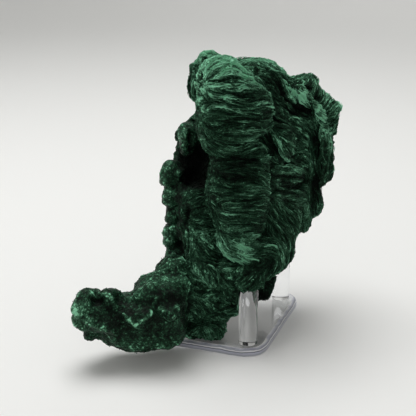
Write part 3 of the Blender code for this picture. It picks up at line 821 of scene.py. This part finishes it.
finish = {
    "patches": ((60, 4), (480, 3)),   # scale and detail of the two noises that break up the tone
    "roughness": (0.72, 0.5),         # at tone 0 and at tone 1
    "smoothLess": -0.25,              # change of roughness where the surface is smooth
    "bump": (0.8, 0.0006),            # strength and distance
    "sheenRoughness": 0.4,
    "sheenTint": (0.30, 0.75, 0.48, 1),
    "tones": (
        (0.0, (0.0012, 0.0035, 0.0018)), (0.25, (0.0035, 0.0135, 0.0066)), (0.48, (0.010, 0.038, 0.019)),
        (0.68, (0.030, 0.100, 0.053)), (0.86, (0.105, 0.270, 0.160)), (1.0, (0.270, 0.670, 0.425))),
    "mineral": {   # patchiness, lift of tone, sheen, specular level, grain scale and its share in the tone
        "malachiteSkin": (0.9, 0.0, 0.0, 0.08, 560, 0.55),
        "malachiteFibre": (0.25, 0.035, 0.02, 0.1, 1300, 0.3),
        "malachiteCrystals": (0.8, 0.01, 0.0, 0.06, 560, 0.45)},
    "clear": {     # colour, roughness, shade of the light let through, transmission
        "satinEdgePaintedReflections": ((0.66, 0.67, 0.76), 0.3, (0.8, 0.8, 0.84), 0.3),
        "clearAcrylic": ((0.97, 0.975, 0.98), 0.01, (0.9, 0.905, 0.9), 1.0)},
    "edgeDashes": (160, 0.0012),      # noise scale, and metres that it shifts the bands
    "edgeRange": (0.0006, 0.0056),
    # Painted reflections: white highlight lines and light and dark bands along the plate's edge.
    "edgeReflectionBands": (                    # height over the ground in millimetres and colour
        (0, (1, 1, 1)), (0.5, (1, 1, 1)), (0.75, (0.42, 0.43, 0.50)), (2.2, (0.70, 0.71, 0.82)),
        (2.7, (0.60, 0.61, 0.74)), (2.9, (0.10, 0.11, 0.17)), (3.2, (0.12, 0.13, 0.19)), (3.5, (1, 1, 1)),
        (4, (0.90, 0.90, 0.95)), (4.2, (0.22, 0.23, 0.30)), (4.7, (0.60, 0.61, 0.70)), (4.95, (1, 1, 1))),
}


def newMaterial(name):  # material, its tree and its Principled shader
    made = bpy.data.materials.new(name)
    made.use_nodes = True
    return made, made.node_tree, made.node_tree.nodes["Principled BSDF"]


def setInputs(tree, node, values):  # each input takes a number or colour, or a link from the output given
    for name, value in values.items():
        if isinstance(value, bpy.types.NodeSocket):
            tree.links.new(value, node.inputs[name])
        else:
            node.inputs[name].default_value = value
    return node


def addNode(tree, kind, values, **settings):
    # New node with its settings, which come before its inputs because they can change what inputs it has.
    node = tree.nodes.new("ShaderNode" + kind)
    for name, value in settings.items():
        setattr(node, name, value)
    return setInputs(tree, node, values)


def calc(tree, operation, *values):  # output of a Math node on numbers and outputs
    return addNode(tree, "Math", dict(enumerate(values)), operation=operation).outputs[0]


def rampColor(tree, value, stops):  # colour that runs straight from stop to stop
    ramp = addNode(tree, "ValToRGB", {"Fac": value})
    elements = ramp.color_ramp.elements
    for element, (position, color) in zip((elements[0], elements[1]), (stops[0], stops[-1])):
        element.position, element.color = position, (*color, 1)
    for position, color in stops[1:-1]:
        elements.new(position).color = (*color, 1)
    return ramp.outputs["Color"]


def newGroup(name, inputs, outputs):  # empty group with number inputs, its entry's outputs and its exit
    tree = bpy.data.node_groups.new(name, "ShaderNodeTree")
    for socket in inputs:
        tree.interface.new_socket(socket, in_out="INPUT", socket_type="NodeSocketFloat")
    for socket in outputs:
        kind = "NodeSocketColor" if socket == "Color" else "NodeSocketFloat"
        tree.interface.new_socket(socket, in_out="OUTPUT", socket_type=kind)
    return tree, tree.nodes.new("NodeGroupInput").outputs, tree.nodes.new("NodeGroupOutput")


def malachiteGroup():
    # Colour and roughness of the mineral from tone + patchiness (broad noise + small noise - 1).
    tree, given, leave = newGroup("malachiteTone", ("Tone", "Patchiness"), ("Color", "Roughness"))
    place = addNode(tree, "TexCoord", {}).outputs["Object"]
    broad, small = [
        addNode(tree, "TexNoise", {"Vector": place, "Scale": scale, "Detail": detail}).outputs["Fac"]
        for scale, detail in finish["patches"]]
    centred = calc(tree, "SUBTRACT", calc(tree, "ADD", broad, small), 1.0)
    shifted = calc(tree, "MULTIPLY_ADD", centred, given["Patchiness"], given["Tone"])
    dull, glossy = finish["roughness"]
    rough = addNode(tree, "MapRange", {"Value": shifted, "To Min": dull, "To Max": glossy}).outputs["Result"]
    setInputs(tree, leave, {"Color": rampColor(tree, shifted, finish["tones"]), "Roughness": rough})
    return tree


def grainGroup():
    # Height of wrinkles and crystal grains: 4 |noise - 0.5| - 0.2 less 0.3 of the distance in cells.
    tree, given, leave = newGroup("crystalGrain", ("Size",), ("Height",))
    pattern = {"Vector": addNode(tree, "TexCoord", {}).outputs["Object"], "Scale": given["Size"]}
    cells = addNode(tree, "TexVoronoi", pattern).outputs["Distance"]
    noise = addNode(tree, "TexNoise", {**pattern, "Detail": 2}).outputs["Fac"]
    folded = calc(tree, "ABSOLUTE", calc(tree, "SUBTRACT", noise, 0.5))
    raised = calc(tree, "MULTIPLY_ADD", folded, 4.0, -0.2)
    setInputs(tree, leave, {"Height": calc(tree, "MULTIPLY_ADD", cells, -0.3, raised)})
    return tree


def mineralMaterial(name):
    # Tone from the mesh plus a lift and a share of the grain's height, which is the bump too.
    patchiness, lift, sheen, shine, grainSize, grainTone = finish["mineral"][name]
    made, tree, surface = newMaterial(name)
    tone, smooth = [
        addNode(tree, "Attribute", {}, attribute_name=stored).outputs["Fac"] for stored in ("tone", "smooth")]
    height = addNode(tree, "Group", {"Size": grainSize}, node_tree=fineGrain).outputs["Height"]
    speckled = calc(tree, "MULTIPLY_ADD", height, grainTone, calc(tree, "ADD", tone, lift))
    strength, distance = finish["bump"]
    bump = addNode(tree, "Bump", {"Strength": strength, "Distance": distance, "Height": height})
    mineral = addNode(tree, "Group", {"Patchiness": patchiness, "Tone": speckled}, node_tree=toneGroup)
    mineral = mineral.outputs
    setInputs(tree, surface, {
        "Base Color": mineral["Color"],
        "Roughness": calc(tree, "MULTIPLY_ADD", smooth, finish["smoothLess"], mineral["Roughness"]),
        "Normal": bump.outputs["Normal"],
        "IOR": 1.5,
        "Specular IOR Level": shine,
        "Sheen Weight": sheen,
        "Sheen Roughness": finish["sheenRoughness"],
        "Sheen Tint": finish["sheenTint"],
    })
    return made


def clearMaterial(name):
    # Clear plastic; rays from lamps pass through it with a little shade, as they do in the room.
    color, roughness, shade, clearness = finish["clear"][name]
    made, tree, surface = newMaterial(name)
    setInputs(tree, surface, {
        "Base Color": (*color, 1), "Transmission Weight": clearness, "IOR": 1.49, "Roughness": roughness})
    rays = addNode(tree, "LightPath", {}).outputs["Is Shadow Ray"]
    film = addNode(tree, "BsdfTransparent", {"Color": (*shade, 1)}).outputs["BSDF"]
    mix = addNode(tree, "MixShader", {"Fac": rays, 1: surface.outputs["BSDF"], 2: film}).outputs["Shader"]
    setInputs(tree, tree.nodes["Material Output"], {"Surface": mix})
    return made


def paintEdgeReflections(made):
    # Base colour of the edge from its height over the ground plus a share of a noise, which makes dashes:
    # painted reflections, white highlight lines and light and dark bands, on a satin finish.
    tree = made.node_tree
    place = addNode(tree, "TexCoord", {}).outputs["Object"]
    scale, shift = finish["edgeDashes"]
    low, high = finish["edgeRange"]
    dashes = addNode(tree, "TexNoise", {"Scale": scale, "Vector": place}).outputs["Fac"]
    level = addNode(tree, "SeparateXYZ", {0: place}).outputs["Z"]
    level = calc(tree, "MULTIPLY_ADD", dashes, shift, level)
    share = addNode(tree, "MapRange", {"Value": level, "From Min": low, "From Max": high}).outputs["Result"]
    bands = [(height / 5, color) for height, color in finish["edgeReflectionBands"]]
    setInputs(tree, tree.nodes["Principled BSDF"], {"Base Color": rampColor(tree, share, bands)})


toneGroup = malachiteGroup()
fineGrain = grainGroup()
skinMaterial, fibreMaterial, crystalMaterial = [mineralMaterial(name) for name in finish["mineral"]]
satinEdgePaintedReflections, acrylic = [clearMaterial(name) for name in finish["clear"]]
paintEdgeReflections(satinEdgePaintedReflections)

skinPiece = meshPiece("stoneSkin", standClear(toStand(skin["points"])), skin["quads"])
# The skin's tone takes painted shade in grooves and recesses and painted light on ridges and proud places.
tone = skin["tone"] + fibre["ridgeShadeTone"] * skin["ridge"] + fibre["proudLightAndShade"] * skin["proud"]
paint(skinPiece, tone=tone, smooth=skin["smooth"])
skinPiece.data.materials.append(skinMaterial)
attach(skinPiece, "root")
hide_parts("malachite")
for piece in buildFibres():
    piece.data.materials.append(crystalMaterial if piece.name == "fibresDruse" else fibreMaterial)
    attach(piece, "root")
print("stone done")


# The stand: a plate and three pegs.

def sweptSolid(name, outlines, heights):
    # Closed solid from flat outlines of equal count stacked upwards, with a fan of triangles at each end.
    count = len(outlines[0])
    rings = [np.column_stack([outline, np.full(count, height)]) for outline, height in zip(outlines, heights)]
    points = np.vstack(rings + [[[*outlines[0].mean(0), heights[0]]], [[*outlines[-1].mean(0), heights[-1]]]])
    return meshPiece(name, points * 0.001, stackFaces(count, len(rings))[:, ::-1])


def roundedSquare(inset):  # corner arcs joined by straight sides, moved inwards by the inset
    half = stand["side"] / 2 - stand["corner"]
    angle = np.linspace(0, np.pi / 2, stand["cornerSteps"])
    radius = stand["corner"] - inset
    quarters = []
    for quarter, (sx, sy) in enumerate(((1, 1), (-1, 1), (-1, -1), (1, -1))):
        a = angle + quarter * np.pi / 2
        quarters.append(np.column_stack([sx * half + radius * np.cos(a), sy * half + radius * np.sin(a)]))
    return np.vstack(quarters)


def levelness(piece):  # 1 on level faces, 0 on upright ones
    normals = np.empty(len(piece.data.polygons) * 3)
    piece.data.polygons.foreach_get("normal", normals)
    return np.abs(normals.reshape(-1, 3)[:, 2])


def buildStand():
    # Plate from its bevelled profile and three round pegs; level faces are flat shaded, round ones smooth.
    profile = np.array(stand["plateProfile"])
    plate = sweptSolid("clearPlate", [roundedSquare(inset) for inset in profile[:, 0]], profile[:, 1])
    plate.data.materials.append(acrylic)
    plate.data.materials.append(satinEdgePaintedReflections)
    plate.data.polygons.foreach_set("use_smooth", levelness(plate) < 0.999)
    plate.data.polygons.foreach_set("material_index", (levelness(plate) < 0.99).astype(np.int32))
    pieces = [(plate, "base_plate")]
    angle = np.linspace(0, 2 * np.pi, stand["pegSteps"], endpoint=False)
    circle = np.column_stack([np.cos(angle), np.sin(angle)])
    radii = [stand["pegRadius"] - inset for inset, _ in stand["pegEdge"]]
    heights = [stand["pegBottom"] + rise for _, rise in stand["pegEdge"]]
    heights += [stand["pegTop"] - rise for _, rise in stand["pegEdge"][::-1]]
    for node, (x, y) in stand["pegs"].items():
        peg = sweptSolid("clear_" + node, [circle * r + (x, y) for r in radii + radii[::-1]], heights)
        peg.data.polygons.foreach_set("use_smooth", levelness(peg) < 0.9)
        pieces.append((peg, node))
    for piece, node in pieces:
        if not piece.data.materials:
            piece.data.materials.append(acrylic)
        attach(piece, "root")
        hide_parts(node)


buildStand()
print("stand done")


# Floor, light and camera.

studio = {   # metres, watts and degrees where nothing else is said
    "floorColor": (0.80, 0.80, 0.785, 1),
    "floorRoughness": 0.7,
    "floorRings": (0.0001, 0.4, 0.8, 1.2, 1.6),
    "floorDrop": 0.0002,     # a hair under the plate, so that the two faces don't flicker
    "bowl": 1.2,
    "rim": (2.8, 3.0),
    "around": 96,
    "airColor": (1.0, 1.0, 0.985, 1),
    "airStrength": 0.35,
    "lights": {              # place, aim, size, power
        "topSoftbox": ((-0.22, 0.2, 1.4), (0, 0, 0.05), (1.0, 1.0), 16.5),
        "frontFill": ((0.5, -1.3, 0.9), (0, 0, 0.1), (1.2, 0.9), 1.5),
        "sideStrip": ((-1.0, -0.35, 0.45), (0, 0, 0.1), (0.25, 0.9), 1.5),
        "backdropGlow": ((0, 2.2, 1.3), (0, 2.6, 0), (1.6, 0.6), 5),
    },
    "cameraFrom": (-2.6, -581.0, 267.5),   # millimetres in the stone's frame
    "cameraDown": 18.0,
    "lens": 80.1,
}


def buildFloor():
    # Bowl-shaped sweep: flat, then a quarter circle up; a profile turned about Z.
    rings, bowl, around = studio["floorRings"], studio["bowl"], studio["around"]
    arc = np.linspace(0, np.pi / 2, 13)[1:]
    radius = np.concatenate([rings, rings[-1] + bowl * np.sin(arc), studio["rim"][:1]])
    height = np.concatenate([np.zeros(len(rings)), bowl * (1 - np.cos(arc)), studio["rim"][1:]])
    angle = np.linspace(0, 2 * np.pi, around, endpoint=False)
    flat = [radius[:, None] * np.cos(angle), radius[:, None] * np.sin(angle)]
    points = np.stack([*flat, np.repeat(height[:, None], around, 1)], -1).reshape(-1, 3)
    points[:, 2] -= studio["floorDrop"]
    cell = np.arange(around)
    side = (cell + 1) % around
    corners = np.stack([cell, side, side + around, cell + around], -1)
    quads = np.vstack([corners + ring * around for ring in range(len(radius) - 1)])
    floor = meshPiece("floorSweep", points, quads)
    made, tree, surface = newMaterial("paleSweep")
    setInputs(tree, surface, {"Base Color": studio["floorColor"], "Roughness": studio["floorRoughness"]})
    floor.data.materials.append(made)


def areaLight(name, place, aim, size, power):  # rectangle at a place, turned so that it looks at its aim
    data = bpy.data.lights.new(name, "AREA")
    data.shape = "RECTANGLE"
    data.size, data.size_y = size
    data.energy = power
    light = bpy.data.objects.new(name, data)
    scene.collection.objects.link(light)
    x, y, z = np.array(aim, float) - np.array(place, float)
    light.location = place
    light.rotation_euler = (math.atan2(math.hypot(x, y), -z), 0, math.atan2(y, x) - math.pi / 2)


buildFloor()
for name, values in studio["lights"].items():
    areaLight(name, *values)
world = bpy.data.worlds.new("studioAir")
world.use_nodes = True
air = world.node_tree.nodes["Background"]
setInputs(world.node_tree, air, {"Color": studio["airColor"], "Strength": studio["airStrength"]})
scene.world = world
scene.view_settings.view_transform = "Standard"

camera = bpy.data.objects.new("camera", bpy.data.cameras.new("camera"))
scene.collection.objects.link(camera)
camera.data.lens = studio["lens"]
camera.data.sensor_width = 36.0
camera.data.clip_end = 20
camera.location = toStand(np.array([studio["cameraFrom"]]))[0]
camera.rotation_euler = (math.radians(90 - studio["cameraDown"]), 0, math.radians(stone["turn"]))
scene.camera = camera
